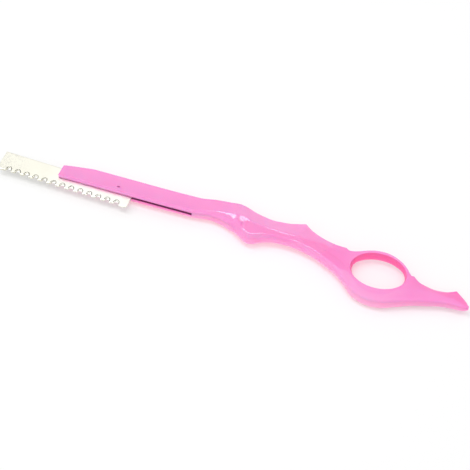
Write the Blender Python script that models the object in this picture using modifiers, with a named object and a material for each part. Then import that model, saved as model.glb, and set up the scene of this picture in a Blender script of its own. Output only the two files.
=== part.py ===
# Hair thinning razor: a one-piece moulded handle whose slotted bar holds a comb-guarded blade that slides out.
# Metres. +X runs along the blade's slide from the bar's mouth to the tail, +Y to the spine side, +Z up.
# The razor lies on its side, with its middle plane level, and its two halves mirror each other in that plane.

import math

import bmesh
import bpy
import numpy as np

# Holder bar: a flat bar, open below and at its mouth, that lies at a small angle to the slide
BAR_LENGTH = 0.0660          # mouth to the inner end of the slot
BAR_WIDTH = 0.00895
BAR_THICKNESS = 0.0040
BAR_TILT = math.radians(2.3)
BAR_FOOT = 0.0012            # the bar's lower edge above the slide line, at the mouth
NOSE_LENGTH = 0.0140         # the spine is cut away towards the mouth over this length
NOSE_DROP = 0.0021
NOSE_LOWER_CORNER = 0.0011
NOSE_UPPER_CORNER = 0.00045
EDGE_CHAMFER = 0.0004
WINDOW_LENGTH = 0.0015
WINDOW_WIDTH = 0.00065
WINDOW_PLACE = 0.0288        # the window's centre from the mouth
WINDOW_ABOVE_SLIDE = 0.0053

# Grip: neck, faceted knob, hollowed grip with its sharp peak, up to the centre of the finger ring
GRIP_LENGTH = 0.08805        # end of the bar to the centre of the ring
KNOB_DEPTH = 0.0186          # across the knob, spine to belly
KNOB_THICKNESS = 0.0078
REST_LAND_DEPTH = 0.0002     # the knob's underside is flat where the razor lies on it

# Finger ring and the lobe below it
RING_ABOVE_SLIDE = 0.0026    # the ring's centre
HOLE_LENGTH = 0.0252
HOLE_WIDTH = 0.0186
RING_WALL = 0.0015
RING_THICKNESS = 0.0052
LOBE_DEPTH = 0.00695         # under the hole

# Tail, from the centre of the ring to the tip
TAIL_LENGTH = 0.04205
TAIL_DEPTH = 0.0080
TAIL_THICKNESS = 0.0044

# Comb guard: one strip of steel folded over the blade, with a row of round-topped notches through both leaves
GUARD_LENGTH = 0.0650
GUARD_HEIGHT = 0.0107
GUARD_SPINE_ABOVE_SLIDE = 0.0071
GUARD_OUT = 0.0287           # how far it stands out of the mouth at rest
SHEET = 0.0003
NOTCH_COUNT = 13
NOTCH_PITCH = 0.0045
NOTCH_WIDTH = 0.0024
NOTCH_DEPTH = 0.0023
FIRST_NOTCH = 0.00565        # first notch's centre from the guard's outer end
OUTER_CORNER = 0.0024        # cut off the guard's outer lower corner
INNER_CORNER = 0.0012

# Blade
BLADE_LENGTH = 0.0620
BLADE_THICKNESS = 0.0002
BLADE_EDGE_ABOVE_TIPS = 0.0014
BEVEL_WIDTH = 0.0012

# Clearances and overruns
LEAF_CLEARANCE = 0.0001      # blade to each leaf
FOLD_CLEARANCE = 0.0003      # blade's back to the inside of the fold
SLOT_SIDE_CLEARANCE = 0.00015
ROOF_CLEARANCE = 0.0003
OVERRUN = 0.0030             # how far a cutter reaches past what it cuts

# Worked out from the sizes above
GUARD_THICKNESS = BLADE_THICKNESS + 2 * (LEAF_CLEARANCE + SHEET)
SLOT_WIDTH = GUARD_THICKNESS + 2 * SLOT_SIDE_CLEARANCE
SLOT_ROOF = GUARD_SPINE_ABOVE_SLIDE + ROOF_CLEARANCE
TIPS = GUARD_SPINE_ABOVE_SLIDE - GUARD_HEIGHT
RING_X = BAR_LENGTH + GRIP_LENGTH
TIP_X = RING_X + TAIL_LENGTH
BAR_END_FOOT = BAR_FOOT + BAR_LENGTH * math.tan(BAR_TILT)
REST_HEIGHT = KNOB_THICKNESS / 2 - REST_LAND_DEPTH

# Fineness of the meshes
STATION_STEP = 0.0028
CORNER_STATION_SHARES = (0.0, 0.08, 0.3, 0.62, 1.0)
HOLE_SIDES = 56
WINDOW_SIDES = 16
FOLD_STEPS = 8
NOTCH_STEPS = 9
CORNER_STEPS = 6
OUTLINE_STEPS = 2000         # for the extent of the curved outline
WELD = 0.00001               # points nearer than this are one
SHARP_ANGLE = math.radians(25)

# Spine edge of the grip: shares of the grip's length, and of the knob's depth above the grip's centre line.
# A row that ends in True is a sharp corner.
GRIP_SPINE_SHARES = (
    (0.082, 0.355, False),
    (0.165, 0.445, False),
    (0.212, 0.498, False),
    (0.236, 0.494, False),
    (0.262, 0.468, False),
    (0.309, 0.420, False),
    (0.357, 0.398, False),
    (0.402, 0.393, False),
    (0.445, 0.431, False),
    (0.485, 0.469, False),
    (0.523, 0.540, False),
    (0.564, 0.620, True),
    (0.582, 0.562, False),
    (0.607, 0.496, False),
    (0.666, 0.402, False),
    (0.713, 0.356, False),
    (0.760, 0.335, False),
    (0.805, 0.342, True),
)

# Belly edge of the grip, in the same shares
GRIP_BELLY_SHARES = (
    (0.045, -0.190, False),
    (0.089, -0.143, False),
    (0.136, -0.148, False),
    (0.182, -0.186, False),
    (0.236, -0.278, False),
    (0.284, -0.395, False),
    (0.317, -0.450, False),
    (0.346, -0.404, False),
    (0.392, -0.264, False),
    (0.443, -0.170, False),
    (0.494, -0.128, False),
    (0.534, -0.110, False),
    (0.591, -0.124, False),
    (0.647, -0.157, False),
    (0.720, -0.262, False),
    (0.795, -0.402, False),
    (0.852, -0.570, False),
)

# Spine edge where the grip meets the ring's band, shares of the ring's outer half length and half width
RING_SHOULDER_SHARES = (
    (-1.090, 0.604, False),
    (-0.951, 0.626, False),
    (-0.745, 0.726, False),
)
RING_ARC_SHARES = (-0.52, -0.26, 0.0, 0.26, 0.52, 0.72, 0.88)

# Belly edge of the lobe: shares of the hole's half length, and of the lobe's depth from the ring's centre line
# down past the hole
LOBE_SHARES = (
    (-0.64, -0.851, False),
    (-0.32, -0.956, False),
    (0.06, -1.000, False),
    (0.43, -0.961, False),
    (0.92, -0.790, False),
)

# Tail: shares of the length from the ring's centre to the tip, and of the tail's depth
TAIL_SPINE_SHARES = (
    (0.337, 0.405, True),
    (0.366, 0.435, False),
    (0.400, 0.310, False),
    (0.458, 0.160, False),
    (0.512, 0.120, False),
    (0.605, 0.068, False),
    (0.725, 0.147, False),
    (0.829, 0.405, True),
    (0.879, 0.210, False),
    (0.933, 0.000, False),
    (0.985, -0.235, False),
    (1.000, -0.302, False),
)
TAIL_BELLY_SHARES = (
    (0.427, -1.240, False),
    (0.584, -0.945, False),
    (0.736, -0.690, False),
    (0.902, -0.600, False),
    (0.985, -0.545, False),
    (1.000, -0.475, False),
)

# Where the bar's section has its three inner points, from belly to spine, and where they are at its inner end
BAR_PLACE_SHARES = (0.20, 0.50, 0.80)
BAR_END_PLACE_SHARES = (0.06, 0.40, 0.70)
CHAMFER_LIMIT_SHARE = 0.25   # of the depth, and of the whole thickness, where the edge is thin

# Sections: where along its part of the handle, then the half thickness at the belly edge, the ridge, the groove,
# the crest and the spine edge, as shares of half the thickness there, and where the ridge, groove and crest lie
# as shares of the way from the belly to the spine. A row that ends in True is a sharp crease across the handle.
GRIP_SECTION_SHARES = (
    (0.079, 0.44, 0.67, 0.62, 0.56, 0.49, 0.25, 0.50, 0.75, False),
    (0.150, 0.38, 0.85, 0.73, 0.60, 0.43, 0.345, 0.55, 0.78, False),
    (0.234, 0.33, 1.00, 0.98, 0.96, 0.37, 0.36, 0.37, 0.39, True),
    (0.262, 0.32, 0.93, 0.80, 0.97, 0.35, 0.26, 0.34, 0.42, False),
    (0.290, 0.31, 0.80, 0.62, 0.94, 0.33, 0.19, 0.36, 0.46, False),
    (0.326, 0.31, 0.70, 0.60, 0.88, 0.31, 0.17, 0.36, 0.50, False),
    (0.386, 0.30, 0.68, 0.60, 0.80, 0.29, 0.24, 0.37, 0.48, False),
    (0.460, 0.29, 0.67, 0.63, 0.74, 0.28, 0.18, 0.27, 0.36, False),
    (0.562, 0.30, 0.67, 0.62, 0.68, 0.31, 0.145, 0.25, 0.36, False),
    (0.635, 0.33, 0.67, 0.52, 0.58, 0.35, 0.195, 0.34, 0.54, False),
    (0.715, 0.36, 0.66, 0.45, 0.54, 0.41, 0.265, 0.46, 0.74, False),
    (0.800, 0.41, 0.63, 0.44, 0.53, 0.49, 0.350, 0.49, 0.70, False),
)
RING_SECTION_SHARES = (
    (-1.02, 0.68, 0.88, 0.84, 0.85, 0.84, 0.40, 0.46, 0.54, False),
    (-0.50, 0.88, 1.03, 1.02, 1.00, 1.00, 0.27, 0.33, 0.86, False),
    (0.0, 0.88, 1.04, 1.02, 1.00, 1.00, 0.22, 0.26, 0.92, False),
    (0.50, 0.88, 1.03, 1.02, 1.00, 1.00, 0.27, 0.33, 0.86, False),
    (1.02, 0.82, 0.98, 0.94, 0.92, 0.82, 0.52, 0.60, 0.70, False),
)
TAIL_SECTION_SHARES = (
    (0.450, 0.82, 1.00, 0.86, 0.76, 0.60, 0.57, 0.68, 0.82, False),
    (0.562, 0.80, 0.98, 0.78, 0.66, 0.50, 0.74, 0.83, 0.91, False),
    (0.690, 0.76, 0.94, 0.75, 0.61, 0.45, 0.64, 0.76, 0.88, False),
    (0.790, 0.72, 0.90, 0.72, 0.56, 0.42, 0.41, 0.60, 0.80, False),
    (0.900, 0.62, 0.80, 0.66, 0.54, 0.42, 0.34, 0.55, 0.77, False),
    (1.000, 0.45, 0.50, 0.50, 0.48, 0.45, 0.40, 0.55, 0.70, False),
)


def joined_curve(points, x):
    """Value at x of a smooth curve through points of (place, value, corner), which doesn't swing past them."""
    places = np.array([p[0] for p in points])
    values = np.array([p[1] for p in points])
    corner = np.array([p[2] for p in points])
    gap = np.diff(places)
    slope = np.diff(values) / gap
    arriving = np.concatenate(([slope[0]], slope))
    leaving = np.concatenate((slope, [slope[-1]]))
    mean = np.zeros(len(places))
    mean[0], mean[-1] = slope[0], slope[-1]
    same_way = slope[:-1] * slope[1:] > 0
    safe = np.where(same_way, slope[:-1] + slope[1:], 1.0)
    mean[1:-1] = np.where(same_way, 2 * slope[:-1] * slope[1:] / safe, 0.0)
    arriving = np.where(corner, arriving, mean)
    leaving = np.where(corner, leaving, mean)
    i = np.clip(np.searchsorted(places, x, side="right") - 1, 0, len(gap) - 1)
    t = np.clip((x - places[i]) / gap[i], 0, 1)
    start = values[i] * (1 + 2 * t) * (1 - t) ** 2 + values[i + 1] * t ** 2 * (3 - 2 * t)
    return start + gap[i] * (leaving[i] * t * (1 - t) ** 2 - arriving[i + 1] * t ** 2 * (1 - t))


def bar_foot(x):
    return BAR_FOOT + x * math.tan(BAR_TILT)


def grip_point(along, above, corner):
    """A point of the grip from shares along its length and above its centre line, of the knob's depth."""
    line_start = BAR_END_FOOT + BAR_WIDTH / 2
    line = line_start + along * (RING_ABOVE_SLIDE - line_start)
    return (BAR_LENGTH + along * GRIP_LENGTH, line + above * KNOB_DEPTH, corner)


def tail_point(along, above, corner):
    return (RING_X + along * TAIL_LENGTH, RING_ABOVE_SLIDE + above * TAIL_DEPTH, corner)


def spine_points():
    outer_length = HOLE_LENGTH / 2 + RING_WALL
    outer_width = HOLE_WIDTH / 2 + RING_WALL
    bar_end = BAR_END_FOOT + BAR_WIDTH
    points = [(NOSE_LENGTH, bar_foot(NOSE_LENGTH) + BAR_WIDTH, True), (BAR_LENGTH, bar_end, False)]
    points += [grip_point(*share) for share in GRIP_SPINE_SHARES]
    points += [
        (RING_X + along * outer_length, RING_ABOVE_SLIDE + above * outer_width, corner)
        for along, above, corner in RING_SHOULDER_SHARES
    ]
    points += [
        (RING_X + share * outer_length, RING_ABOVE_SLIDE + outer_width * math.sqrt(1 - share ** 2), False)
        for share in RING_ARC_SHARES
    ]
    points += [tail_point(*share) for share in TAIL_SPINE_SHARES]
    return points


def belly_points():
    lobe_bottom = HOLE_WIDTH / 2 + LOBE_DEPTH
    points = [(0, BAR_FOOT, False), (BAR_LENGTH, BAR_END_FOOT, False)]
    points += [grip_point(*share) for share in GRIP_BELLY_SHARES]
    points += [
        (RING_X + along * HOLE_LENGTH / 2, RING_ABOVE_SLIDE + below * lobe_bottom, corner)
        for along, below, corner in LOBE_SHARES
    ]
    points += [tail_point(*share) for share in TAIL_BELLY_SHARES]
    return points


def corner_cut(x, radius):
    """How far a rounded corner of this radius at the mouth draws an edge in at x."""
    inside = np.clip(radius - x, 0, radius)
    return radius - np.sqrt(radius ** 2 - inside ** 2)


def spine_edge(x):
    top = joined_curve(spine_points(), x)
    nose = bar_foot(x) + BAR_WIDTH - NOSE_DROP * np.clip(1 - x / NOSE_LENGTH, 0, 1)
    return np.where(x < NOSE_LENGTH, nose, top) - corner_cut(x, NOSE_UPPER_CORNER)


def belly_edge(x):
    return joined_curve(belly_points(), x) + corner_cut(x, NOSE_LOWER_CORNER)


def section_rows():
    """Rows of (x, five half thicknesses, three places across, crease), from the mouth to the tip."""
    flat = [BAR_THICKNESS / 2] * 5
    rows = [(0, *flat, *BAR_PLACE_SHARES, False), (BAR_LENGTH, *flat, *BAR_END_PLACE_SHARES, True)]
    for row in GRIP_SECTION_SHARES:
        heights = [share * KNOB_THICKNESS / 2 for share in row[1:6]]
        rows.append((BAR_LENGTH + row[0] * GRIP_LENGTH, *heights, *row[6:9], row[9]))
    for row in RING_SECTION_SHARES:
        heights = [share * RING_THICKNESS / 2 for share in row[1:6]]
        rows.append((RING_X + row[0] * HOLE_LENGTH / 2, *heights, *row[6:9], row[9]))
    for row in TAIL_SECTION_SHARES:
        heights = [share * TAIL_THICKNESS / 2 for share in row[1:6]]
        rows.append((RING_X + row[0] * TAIL_LENGTH, *heights, *row[6:9], row[9]))
    return rows


def sections(x):
    """The section's values at each x, as eight arrays."""
    rows = section_rows()
    return [joined_curve([(row[0], row[k], row[9]) for row in rows], x) for k in range(1, 9)]


def stations():
    """Places along the handle: every named one, and enough between them."""
    named = [row[0] for row in section_rows()]
    named += [point[0] for point in spine_points() if point[2]] + [NOSE_LENGTH]
    named += [share * NOSE_LOWER_CORNER for share in CORNER_STATION_SHARES]
    named = sorted(set(round(place, 9) for place in named))
    places = []
    for start, end in zip(named[:-1], named[1:]):
        steps = max(1, round((end - start) / STATION_STEP))
        places += [start + (end - start) * i / steps for i in range(steps)]
    return np.array(places + [named[-1]])


def link(obj, collection):
    collection.objects.link(obj)
    return obj


def mesh_object(name, points, faces, collection):
    mesh = bpy.data.meshes.new(name)
    mesh.from_pydata([tuple(map(float, p)) for p in points], [], faces)
    mesh.update()
    return link(bpy.data.objects.new(name, mesh), collection)


def tidy_normals(obj):
    shape = bmesh.new()
    shape.from_mesh(obj.data)
    bmesh.ops.recalc_face_normals(shape, faces=shape.faces)
    shape.to_mesh(obj.data)
    shape.free()


def box(name, low, high, collection):
    """A box between two corners, made from a cube."""
    shape = bmesh.new()
    bmesh.ops.create_cube(shape, size=1)
    size = [h - l for l, h in zip(low, high)]
    centre = [(h + l) / 2 for l, h in zip(low, high)]
    bmesh.ops.scale(shape, vec=size, verts=shape.verts)
    bmesh.ops.translate(shape, vec=centre, verts=shape.verts)
    mesh = bpy.data.meshes.new(name)
    shape.to_mesh(mesh)
    shape.free()
    return link(bpy.data.objects.new(name, mesh), collection)


def rod(name, centre, radii, half_length, sides, collection):
    """An upright round or oval rod about a centre, made from a cylinder."""
    shape = bmesh.new()
    bmesh.ops.create_cone(shape, cap_ends=True, segments=sides, radius1=1, radius2=1, depth=2)
    bmesh.ops.scale(shape, vec=(radii[0], radii[1], half_length), verts=shape.verts)
    bmesh.ops.translate(shape, vec=centre, verts=shape.verts)
    mesh = bpy.data.meshes.new(name)
    shape.to_mesh(mesh)
    shape.free()
    return link(bpy.data.objects.new(name, mesh), collection)


def flat_outline(name, outline, half_thickness, collection):
    """A flat plate of this outline, in the middle plane."""
    curve = bpy.data.curves.new(name, "CURVE")
    curve.dimensions = "2D"
    curve.fill_mode = "BOTH"
    curve.extrude = half_thickness
    spline = curve.splines.new("POLY")
    spline.points.add(len(outline) - 1)
    for point, (x, y) in zip(spline.points, outline):
        point.co = (x, y, 0, 1)
    spline.use_cyclic_u = True
    source = bpy.data.objects.new(name + "_outline", curve)
    collection.objects.link(source)
    bpy.context.view_layer.update()
    mesh = bpy.data.meshes.new_from_object(source.evaluated_get(bpy.context.evaluated_depsgraph_get()))
    bpy.data.objects.remove(source)
    shape = bmesh.new()
    shape.from_mesh(mesh)
    bmesh.ops.remove_doubles(shape, verts=shape.verts, dist=WELD)
    bmesh.ops.recalc_face_normals(shape, faces=shape.faces)
    shape.to_mesh(mesh)
    shape.free()
    mesh.name = name
    return link(bpy.data.objects.new(name, mesh), collection)


def cut(obj, cutter, operation="DIFFERENCE"):
    boolean = obj.modifiers.new(cutter.name, "BOOLEAN")
    boolean.operation = operation
    boolean.solver = "EXACT"
    boolean.object = cutter
    cutter.hide_render = True
    cutter.display_type = "WIRE"


def painted(name, colour, metallic, roughness):
    material = bpy.data.materials.new(name)
    material.use_nodes = True
    shader = material.node_tree.nodes["Principled BSDF"]
    shader.inputs["Base Color"].default_value = (*colour, 1)
    shader.inputs["Metallic"].default_value = metallic
    shader.inputs["Roughness"].default_value = roughness
    return material


def make_handle(parts, cutters):
    """Half the handle as a loft through its sections, mirrored in the middle plane, then slotted and pierced."""
    x = stations()
    belly, spine = belly_edge(x), spine_edge(x)
    foot, ridge, groove, crest, head, ridge_at, groove_at, crest_at = sections(x)
    depth = spine - belly
    corner = np.minimum(EDGE_CHAMFER, CHAMFER_LIMIT_SHARE * depth)
    foot_drop = np.minimum(corner, CHAMFER_LIMIT_SHARE * 2 * foot)
    head_drop = np.minimum(corner, CHAMFER_LIMIT_SHARE * 2 * head)
    rows = [
        (belly, 0 * x),
        (belly, foot - foot_drop),
        (belly + corner, foot),
        (belly + corner + ridge_at * (depth - 2 * corner), ridge),
        (belly + corner + groove_at * (depth - 2 * corner), groove),
        (belly + corner + crest_at * (depth - 2 * corner), crest),
        (spine - corner, head),
        (spine, head - head_drop),
        (spine, 0 * x),
    ]
    points = [(x[i], y[i], z[i]) for i in range(len(x)) for y, z in rows]
    across = len(rows)
    faces = [
        (i * across + j, i * across + j + 1, (i + 1) * across + j + 1, (i + 1) * across + j)
        for i in range(len(x) - 1)
        for j in range(across - 1)
    ]
    faces += [tuple(range(across)), tuple(range((len(x) - 1) * across, len(x) * across))]
    handle = mesh_object("handle", points, faces, parts)
    tidy_normals(handle)
    mirror = handle.modifiers.new("other_half", "MIRROR")
    mirror.use_axis = (False, False, True)
    mirror.merge_threshold = WELD

    slot_low = (-OVERRUN, TIPS - OVERRUN, -SLOT_WIDTH / 2)
    cut(handle, box("slot", slot_low, (BAR_LENGTH, SLOT_ROOF, SLOT_WIDTH / 2), cutters))
    hole_reach = KNOB_THICKNESS / 2 + OVERRUN
    hole_radii = (HOLE_LENGTH / 2, HOLE_WIDTH / 2)
    cut(handle, rod("finger_hole", (RING_X, RING_ABOVE_SLIDE, 0), hole_radii, hole_reach, HOLE_SIDES, cutters))
    window_reach = (BAR_THICKNESS / 2 + OVERRUN) / 2
    window_centre = (WINDOW_PLACE, WINDOW_ABOVE_SLIDE, window_reach)
    window_radii = (WINDOW_LENGTH / 2, WINDOW_WIDTH / 2)
    cut(handle, rod("window", window_centre, window_radii, window_reach, WINDOW_SIDES, cutters))
    land_low = (BAR_LENGTH, -KNOB_DEPTH, -REST_HEIGHT - OVERRUN)
    cut(handle, box("rest_land", land_low, (RING_X, KNOB_DEPTH, -REST_HEIGHT), cutters))
    return handle


def notch_outline(centre):
    """A notch that opens at the tips and ends in a half circle."""
    radius = NOTCH_WIDTH / 2
    top = TIPS + NOTCH_DEPTH - radius
    points = [(centre - radius, TIPS - OVERRUN), (centre + radius, TIPS - OVERRUN)]
    for i in range(NOTCH_STEPS):
        angle = math.pi * i / (NOTCH_STEPS - 1)
        points.append((centre + radius * math.cos(angle), top + radius * math.sin(angle)))
    return points


def corner_outline(corner_x, corner_y, radius, inward):
    """What rounding a lower corner takes off: a square's corner less a quarter circle."""
    centre = (corner_x + inward * radius, corner_y + radius)
    points = [(corner_x - inward * OVERRUN, corner_y - OVERRUN), (centre[0], corner_y - OVERRUN)]
    for i in range(CORNER_STEPS):
        angle = math.pi / 2 * i / (CORNER_STEPS - 1)
        points.append((centre[0] - inward * radius * math.sin(angle), centre[1] - radius * math.cos(angle)))
    points.append((corner_x - inward * OVERRUN, centre[1]))
    return points


def make_guard(parts, cutters):
    """The folded strip as an open surface with thickness, notched through both leaves."""
    middle = (GUARD_THICKNESS - SHEET) / 2
    fold_centre = GUARD_SPINE_ABOVE_SLIDE - GUARD_THICKNESS / 2
    profile = [(TIPS, -middle)]
    for i in range(FOLD_STEPS + 1):
        angle = math.pi * i / FOLD_STEPS
        profile.append((fold_centre + middle * math.sin(angle), -middle * math.cos(angle)))
    profile.append((TIPS, middle))
    points = [(x, y, z) for x in (0, GUARD_LENGTH) for y, z in profile]
    count = len(profile)
    faces = [(j, j + 1, count + j + 1, count + j) for j in range(count - 1)]
    guard = mesh_object("comb_guard", points, faces, parts)
    solidify = guard.modifiers.new("sheet", "SOLIDIFY")
    solidify.thickness = SHEET
    solidify.offset = 0
    solidify.use_even_offset = True

    reach = GUARD_THICKNESS / 2 + OVERRUN
    for i in range(NOTCH_COUNT):
        outline = notch_outline(FIRST_NOTCH + i * NOTCH_PITCH)
        cut(guard, flat_outline(f"notch_{i + 1:02d}", outline, reach, cutters))
    cut(guard, flat_outline("outer_corner", corner_outline(0, TIPS, OUTER_CORNER, 1), reach, cutters))
    cut(guard, flat_outline("inner_corner", corner_outline(GUARD_LENGTH, TIPS, INNER_CORNER, -1), reach, cutters))
    return guard


def make_blade(parts, cutters):
    """A strip with a ground edge, its section carried along the slide."""
    back = GUARD_SPINE_ABOVE_SLIDE - GUARD_THICKNESS / 2 - FOLD_CLEARANCE / 2
    edge = TIPS + BLADE_EDGE_ABOVE_TIPS
    start = (GUARD_LENGTH - BLADE_LENGTH) / 2
    half = BLADE_THICKNESS / 2
    profile = [(back, -half), (edge + BEVEL_WIDTH, -half), (edge, 0), (edge + BEVEL_WIDTH, half), (back, half)]
    points = [(x, y, z) for x in (start, start + BLADE_LENGTH) for y, z in profile]
    count = len(profile)
    faces = [(j, (j + 1) % count, count + (j + 1) % count, count + j) for j in range(count)]
    faces += [tuple(range(count)), tuple(range(count, 2 * count))]
    blade = mesh_object("razor_blade", points, faces, parts)
    tidy_normals(blade)
    return blade


def main():
    for obj in list(bpy.data.objects):
        bpy.data.objects.remove(obj)
    parts = bpy.data.collections.new("thinning_razor")
    cutters = bpy.data.collections.new("cutters")
    bpy.context.scene.collection.children.link(parts)
    bpy.context.scene.collection.children.link(cutters)

    fine = np.linspace(0, TIP_X, OUTLINE_STEPS)
    middle_x = (TIP_X - GUARD_OUT) / 2
    middle_y = (spine_edge(fine).max() + belly_edge(fine).min()) / 2
    frame = link(bpy.data.objects.new("razor_frame", None), parts)
    frame.location = (-middle_x, -middle_y, REST_HEIGHT)
    slide = link(bpy.data.objects.new("guard_slide", None), parts)
    slide.parent = frame
    slide.location = (-GUARD_OUT, 0, 0)

    handle = make_handle(parts, cutters)
    guard = make_guard(parts, cutters)
    blade = make_blade(parts, cutters)
    for obj in cutters.objects:
        obj.parent = slide if obj.name.startswith(("notch", "outer", "inner")) else frame
    handle.parent = frame
    guard.parent = slide
    blade.parent = slide

    pink = painted("pink_plastic", (0.99, 0.33, 0.68), 0, 0.25)
    steel = painted("guard_steel", (0.86, 0.85, 0.82), 1, 0.3)
    edge_steel = painted("blade_steel", (0.8, 0.81, 0.82), 1, 0.2)
    for obj, material in ((handle, pink), (guard, steel), (blade, edge_steel)):
        obj.data.materials.append(material)
        obj.data.shade_smooth()
        obj.data.set_sharp_from_angle(angle=SHARP_ANGLE)


main()
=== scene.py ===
import math

import bmesh
import bpy
import numpy as np
from mathutils import Matrix, Vector


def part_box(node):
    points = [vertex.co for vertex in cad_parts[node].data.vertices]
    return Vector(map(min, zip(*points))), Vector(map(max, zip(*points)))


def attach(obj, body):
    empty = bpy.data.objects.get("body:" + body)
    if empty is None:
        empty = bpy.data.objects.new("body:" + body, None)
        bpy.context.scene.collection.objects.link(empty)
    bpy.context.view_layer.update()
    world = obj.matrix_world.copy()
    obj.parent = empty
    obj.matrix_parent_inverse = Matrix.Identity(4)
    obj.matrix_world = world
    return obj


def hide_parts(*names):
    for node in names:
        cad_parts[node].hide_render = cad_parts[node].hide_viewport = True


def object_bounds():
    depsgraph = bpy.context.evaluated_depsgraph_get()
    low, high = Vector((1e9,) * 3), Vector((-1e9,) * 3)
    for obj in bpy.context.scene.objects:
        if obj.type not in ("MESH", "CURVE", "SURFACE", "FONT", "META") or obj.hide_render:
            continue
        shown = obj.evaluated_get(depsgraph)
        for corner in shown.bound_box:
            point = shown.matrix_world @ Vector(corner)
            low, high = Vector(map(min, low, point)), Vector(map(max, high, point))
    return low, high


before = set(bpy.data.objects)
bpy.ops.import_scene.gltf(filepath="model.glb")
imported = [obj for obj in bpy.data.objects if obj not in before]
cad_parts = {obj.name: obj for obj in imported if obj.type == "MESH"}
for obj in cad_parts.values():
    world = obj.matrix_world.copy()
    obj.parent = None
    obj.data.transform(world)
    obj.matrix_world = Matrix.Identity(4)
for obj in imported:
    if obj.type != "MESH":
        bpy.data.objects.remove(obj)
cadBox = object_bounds()
millimetre = 0.001

# The handle's frame: x from the bar's mouth to the tail, y above the slide line, z from the middle plane
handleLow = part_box("handle")[0]
guardLow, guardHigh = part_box("comb_guard")
guardSize = {
    "spineAboveSlide": 7.1 * millimetre,
    "sheet": 0.3 * millimetre,
    "notchCount": 13,
    "notchPitch": 4.5 * millimetre,
    "notchWidth": 1.7 * millimetre,
    "notchMouth": 2.6 * millimetre,
    "notchDepth": 2.35 * millimetre,
    "toothCut": 0.4 * millimetre,
    "firstNotch": 5.65 * millimetre,
    "outerCorner": 2.4 * millimetre,
    "innerCorner": 1.7 * millimetre,
    "lastTooth": 0.9 * millimetre,
    "notchShadeBand": 0.28 * millimetre,
    "notchSteps": 28,
    "cornerSteps": 12,
    "foldSteps": 14,
    "edgeRounding": 0.12 * millimetre,
    "sharpAngle": 30,
}
origin = Vector((
    handleLow.x,
    guardHigh.y - guardSize["spineAboveSlide"],
    (guardLow.z + guardHigh.z) / 2,
))


def joinedCurve(points, x):
    # A cubic through points of (place, value, corner). Each slope is the harmonic mean of those beside it,
    # or nothing where they turn over, so the curve never swings past its points. Corners keep both slopes.
    places, values, corner = np.array(points, dtype=float).T
    gap = np.diff(places)
    slope = np.diff(values) / gap
    arriving = np.concatenate(([slope[0]], slope))
    leaving = np.concatenate((slope, [slope[-1]]))
    mean = np.zeros(len(places))
    mean[0], mean[-1] = slope[0], slope[-1]
    sameWay = slope[:-1] * slope[1:] > 0
    safe = np.where(sameWay, slope[:-1] + slope[1:], 1.0)
    mean[1:-1] = np.where(sameWay, 2 * slope[:-1] * slope[1:] / safe, 0.0)
    arriving = np.where(corner > 0, arriving, mean)
    leaving = np.where(corner > 0, leaving, mean)
    i = np.clip(np.searchsorted(places, x, side="right") - 1, 0, len(gap) - 1)
    t = np.clip((x - places[i]) / gap[i], 0, 1)
    start = values[i] * (1 + 2 * t) * (1 - t) ** 2 + values[i + 1] * t ** 2 * (3 - 2 * t)
    return start + gap[i] * (leaving[i] * t * (1 - t) ** 2 - arriving[i + 1] * t ** 2 * (1 - t))


def softened(curve, x, width):
    # The mean of a curve over a bell of this half width, which rounds its corners.
    offsets = np.linspace(-1, 1, 9)
    weights = np.cos(offsets * math.pi / 2) ** 2
    return sum(w * curve(x + o * width) for o, w in zip(offsets, weights)) / weights.sum()


def softRamp(t, width):
    # Nothing below zero, t above it, joined by a hyperbola of this width.
    return (t + np.sqrt(t * t + width * width)) / 2


def softStep(t, width):
    # From nothing to one about zero, over this width on either side.
    return 0.5 + 0.5 * t / np.sqrt(t * t + width * width)


def meshPiece(name, points, faces):
    mesh = bpy.data.meshes.new(name)
    mesh.from_pydata((points + np.array(origin)).tolist(), [], faces)
    mesh.update()
    piece = bpy.data.objects.new(name, mesh)
    bpy.context.scene.collection.objects.link(piece)
    return piece


def gridFaces(columns, rows, start=0):
    # Quads of a grid whose points are numbered row by row within each column.
    c, r = np.meshgrid(np.arange(columns - 1), np.arange(rows - 1), indexing="ij")
    a = (start + c * rows + r).ravel()
    return np.stack([a, a + rows, a + rows + 1, a + 1], -1)


def welded(piece, distance):
    shape = bmesh.new()
    shape.from_mesh(piece.data)
    bmesh.ops.remove_doubles(shape, verts=shape.verts, dist=distance)
    bmesh.ops.recalc_face_normals(shape, faces=shape.faces)
    shape.to_mesh(piece.data)
    shape.free()


def applied(piece):
    # The piece with its modifiers worked out and left behind.
    bpy.context.view_layer.update()
    evaluated = piece.evaluated_get(bpy.context.evaluated_depsgraph_get())
    mesh = bpy.data.meshes.new_from_object(evaluated)
    piece.modifiers.clear()
    piece.data = mesh
    mesh.name = piece.name


def smoothShaded(piece, sharpAngle):
    piece.data.shade_smooth()
    piece.data.set_sharp_from_angle(angle=math.radians(sharpAngle))


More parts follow.
